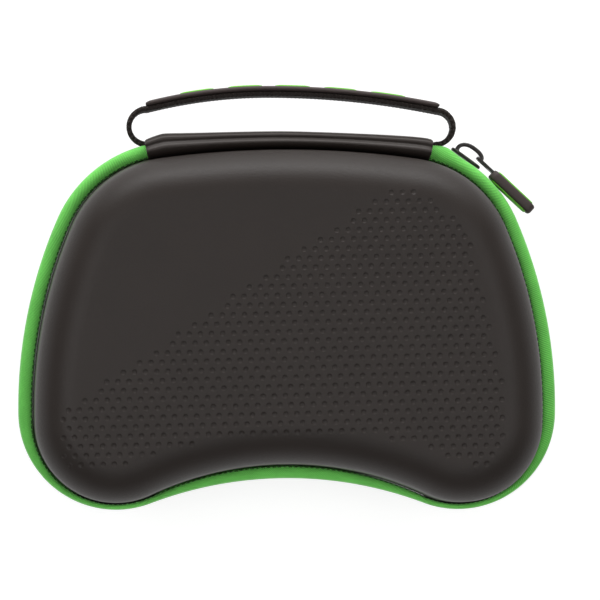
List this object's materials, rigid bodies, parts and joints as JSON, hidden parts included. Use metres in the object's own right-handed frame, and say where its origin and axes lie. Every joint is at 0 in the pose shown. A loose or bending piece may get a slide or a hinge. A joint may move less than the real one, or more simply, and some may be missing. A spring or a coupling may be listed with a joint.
{
  "type": "controller carrying case",
  "caption": "Hard-shell clamshell carrying case for a game controller, with a zipper round the seam, a net pocket in the lid and a top handle.",
  "frame": {"origin": "on the flat back face that the case lies on, at the middle of its width", "axes": "+Z out of the back through the dimpled front, +X to the right and +Y towards the hinge and handle, as seen from the front"},
  "size_m": [0.19, 0.1504, 0.074],
  "materials": {
    "shell_skin": "fine matt skin on moulded foam",
    "cover_skin": "soft matt skin, folded and stitched",
    "zipper_tape": "diagonal twill",
    "zipper_coil": "nylon coil",
    "lining": "short-pile lining and binding tape",
    "net": "open net",
    "elastic": "ribbed elastic",
    "webbing": "woven webbing",
    "grip_rubber": "matt moulded rubber",
    "green_rubber": "matt moulded rubber",
    "slider_metal": "black enamelled casting"
  },
  "bodies": {
    "base": {"base_shell": "shell_skin", "base_tape": "zipper_tape", "lid_tape_end_left": "zipper_tape", "lid_tape_end_right": "zipper_tape", "base_coil": "zipper_coil", "lid_coil_end_left": "zipper_coil", "lid_coil_end_right": "zipper_coil", "zipper_stops": "zipper_coil", "spine_cover": "cover_skin", "hinge_lining": "lining", "base_binding": "lining"},
    "lid": {"lid_shell": "shell_skin", "lid_tape": "zipper_tape", "lid_coil": "zipper_coil", "lid_binding": "lining", "mesh_pocket": "net", "pocket_binding": "lining", "pocket_hem": "elastic"},
    "handle": {"handle_webbing": "webbing", "handle_grip": "grip_rubber", "handle_bars": "green_rubber"},
    "slider": {"slider_body": "slider_metal"},
    "puller": {"puller_link": "slider_metal", "puller_grip": "grip_rubber", "puller_face_outer": "green_rubber", "puller_face_inner": "green_rubber"}
  },
  "joints": [
    {"name": "lid_hinge", "type": "hinge", "parent": "base", "child": "lid", "pos_m": [0, 0.0668, 0.037], "axis": [-1, 0, 0], "range_deg": [0, 120], "deforming": ["spine_cover", "hinge_lining"]},
    {"name": "handle_fold", "type": "hinge", "parent": "base", "child": "handle", "pos_m": [0, 0.0668, 0.037], "axis": [-1, 0, 0], "range_deg": [0, 60]},
    {"name": "zipper_slide", "type": "hinge", "parent": "base", "child": "slider", "pos_m": [0.0396, 0.01777, 0.037], "axis": [0, 0, -1], "range_deg": [0, 16]},
    {"name": "puller_swing", "type": "hinge", "parent": "slider", "child": "puller", "pos_m": [0.06873, 0.05673, 0.037], "axis": [0, 0, 1], "range_deg": [0, 110]}
  ],
  "couplings": [
    {"joint": "handle_fold", "follows": "lid_hinge", "ratio": 0.5}
  ]
}
